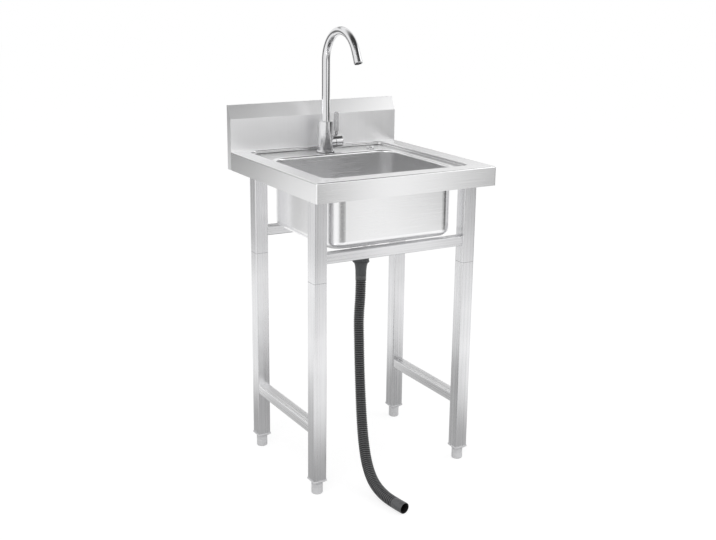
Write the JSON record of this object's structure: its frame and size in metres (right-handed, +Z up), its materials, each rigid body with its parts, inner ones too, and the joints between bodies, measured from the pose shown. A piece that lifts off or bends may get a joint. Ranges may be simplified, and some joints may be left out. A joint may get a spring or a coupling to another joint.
{
  "type": "kitchen sink unit",
  "caption": "Free-standing stainless steel sink unit: square deck with splashback, deep bowl, swan-neck tap, tubular frame with screw feet, and ribbed waste hose.",
  "frame": {"origin": "on the floor below the middle of the deck", "axes": "+Z up, front towards -Y, +X to the right of someone standing in front"},
  "size_m": [0.5, 0.6358, 1.1237],
  "materials": {
    "deck_steel": "satin brushed",
    "frame_steel": "brushed along the tube",
    "chrome": "polished",
    "brass": "machined",
    "foot_plastic": "moulded grey",
    "hose_plastic": "soft dark grey",
    "black_plastic": "moulded",
    "seal_rubber": "matt"
  },
  "bodies": {
    "unit": {"bonnet_nut": "brass", "bowl": "deck_steel", "deck_channel_left": "frame_steel", "deck_channel_right": "frame_steel", "deck_top": "deck_steel", "drain_body": "deck_steel", "drain_gasket": "seal_rubber", "drain_hose": "hose_plastic", "drain_locknut": "black_plastic", "drain_washer": "seal_rubber", "front_rail": "frame_steel", "hole_cover": "chrome", "hole_cover_nut": "black_plastic", "hose_cuff": "hose_plastic", "hose_nut": "hose_plastic", "leg_end_plug_front_left": "foot_plastic", "leg_end_plug_front_right": "foot_plastic", "leg_end_plug_rear_left": "foot_plastic", "leg_end_plug_rear_right": "foot_plastic", "leg_joiner_front_left": "black_plastic", "leg_joiner_front_right": "black_plastic", "leg_joiner_rear_left": "black_plastic", "leg_joiner_rear_right": "black_plastic", "leg_lower_front_left": "frame_steel", "leg_lower_front_right": "frame_steel", "leg_lower_rear_left": "frame_steel", "leg_lower_rear_right": "frame_steel", "leg_upper_front_left": "frame_steel", "leg_upper_front_right": "frame_steel", "leg_upper_rear_left": "frame_steel", "leg_upper_rear_right": "frame_steel", "rear_rail": "frame_steel", "side_rail_left": "frame_steel", "side_rail_right": "frame_steel", "splash_end_left": "deck_steel", "splash_end_right": "deck_steel", "splashback": "deck_steel", "spout_bush": "chrome", "tap_base_ring": "chrome", "tap_body": "chrome", "tap_cartridge": "brass", "tap_clamp_washer": "frame_steel", "tap_gasket": "seal_rubber", "tap_locknut": "brass", "tap_rubber_washer": "seal_rubber", "tap_shank": "brass"},
    "strainer": {"strainer_basket": "deck_steel", "strainer_post": "chrome", "strainer_seal": "seal_rubber"},
    "spout": {"spout_tube": "chrome", "aerator_housing": "chrome", "aerator_insert": "black_plastic"},
    "lever": {"cartridge_stem": "brass", "lever_cap": "chrome", "lever_blade": "chrome", "lever_screw": "chrome"},
    "foot_front_left": {"foot_front_left": "foot_plastic"},
    "foot_front_right": {"foot_front_right": "foot_plastic"},
    "foot_rear_left": {"foot_rear_left": "foot_plastic"},
    "foot_rear_right": {"foot_rear_right": "foot_plastic"}
  },
  "joints": [
    {"name": "foot_front_left_screw", "type": "slide", "parent": "unit", "child": "foot_front_left", "axis": [0, 0, 1], "range_m": [-0.015, 0]},
    {"name": "foot_front_right_screw", "type": "slide", "parent": "unit", "child": "foot_front_right", "axis": [0, 0, 1], "range_m": [-0.015, 0]},
    {"name": "foot_rear_left_screw", "type": "slide", "parent": "unit", "child": "foot_rear_left", "axis": [0, 0, 1], "range_m": [-0.015, 0]},
    {"name": "foot_rear_right_screw", "type": "slide", "parent": "unit", "child": "foot_rear_right", "axis": [0, 0, 1], "range_m": [-0.015, 0]},
    {"name": "strainer_lift", "type": "slide", "parent": "unit", "child": "strainer", "axis": [0, 0, 1], "range_m": [0, 0.07]},
    {"name": "spout_swivel", "type": "hinge", "parent": "unit", "child": "spout", "pos_m": [0, 0.172, 0.9], "axis": [0, 0, 1], "continuous": true},
    {"name": "lever_turn", "type": "hinge", "parent": "unit", "child": "lever", "pos_m": [0.035, 0.172, 0.818], "axis": [1, 0, 0], "range_deg": [0, 90]}
  ]
}
